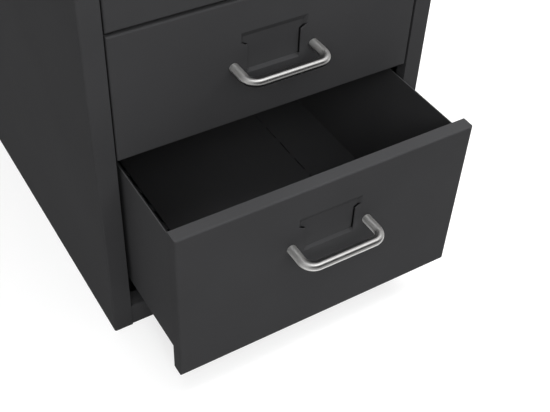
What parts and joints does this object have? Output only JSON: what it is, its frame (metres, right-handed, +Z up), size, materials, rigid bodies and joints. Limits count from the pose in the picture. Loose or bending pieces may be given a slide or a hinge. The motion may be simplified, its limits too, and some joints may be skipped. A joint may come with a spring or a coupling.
{
  "type": "drawer cabinet",
  "caption": "Narrow free-standing sheet-steel drawer cabinet with shallow drawers above one deep drawer, bow handles and pressed label pockets.",
  "frame": {"origin": "middle of the footprint, on the floor under the base", "axes": "+X to the cabinet's right seen from the front, +Y to the back, +Z up; the drawers open towards -Y"},
  "size_m": [0.28, 0.5144, 0.61],
  "materials": {
    "powder_coat": "satin anthracite powder coat",
    "front_coat": "satin anthracite powder coat",
    "tray_coat": "satin anthracite powder coat, thinner inside",
    "runner_steel": "satin anthracite powder coat, rubbed where the tray slides",
    "handle_chrome": "bright nickel-chrome plate",
    "zinc_screw": "zinc-plated steel"
  },
  "bodies": {
    "cabinet_body": {"side_panel_left": "powder_coat", "side_panel_right": "powder_coat", "back_panel": "powder_coat", "top_cap": "powder_coat", "base_pan": "powder_coat", "back_panel_screws": "zinc_screw", "drawer_1_runner_left": "runner_steel", "drawer_2_runner_left": "runner_steel", "drawer_3_runner_left": "runner_steel", "drawer_4_runner_left": "runner_steel", "drawer_5_runner_left": "runner_steel", "drawer_1_runner_right": "runner_steel", "drawer_2_runner_right": "runner_steel", "drawer_3_runner_right": "runner_steel", "drawer_4_runner_right": "runner_steel", "drawer_5_runner_right": "runner_steel"},
    "drawer_1": {"drawer_1_tray": "tray_coat", "drawer_1_front": "front_coat", "drawer_1_handle": "handle_chrome", "drawer_1_handle_screws": "zinc_screw"},
    "drawer_2": {"drawer_2_tray": "tray_coat", "drawer_2_front": "front_coat", "drawer_2_handle": "handle_chrome", "drawer_2_handle_screws": "zinc_screw"},
    "drawer_3": {"drawer_3_tray": "tray_coat", "drawer_3_front": "front_coat", "drawer_3_handle": "handle_chrome", "drawer_3_handle_screws": "zinc_screw"},
    "drawer_4": {"drawer_4_tray": "tray_coat", "drawer_4_front": "front_coat", "drawer_4_handle": "handle_chrome", "drawer_4_handle_screws": "zinc_screw"},
    "drawer_5": {"drawer_5_tray": "tray_coat", "drawer_5_front": "front_coat", "drawer_5_handle": "handle_chrome", "drawer_5_handle_screws": "zinc_screw"}
  },
  "joints": [
    {"name": "drawer_1_slide", "type": "slide", "parent": "cabinet_body", "child": "drawer_1", "axis": [0, -1, 0], "range_m": [-0.085, 0.205]},
    {"name": "drawer_2_slide", "type": "slide", "parent": "cabinet_body", "child": "drawer_2", "axis": [0, -1, 0], "range_m": [0, 0.29]},
    {"name": "drawer_3_slide", "type": "slide", "parent": "cabinet_body", "child": "drawer_3", "axis": [0, -1, 0], "range_m": [0, 0.29]},
    {"name": "drawer_4_slide", "type": "slide", "parent": "cabinet_body", "child": "drawer_4", "axis": [0, -1, 0], "range_m": [0, 0.29]},
    {"name": "drawer_5_slide", "type": "slide", "parent": "cabinet_body", "child": "drawer_5", "axis": [0, -1, 0], "range_m": [0, 0.29]}
  ]
}
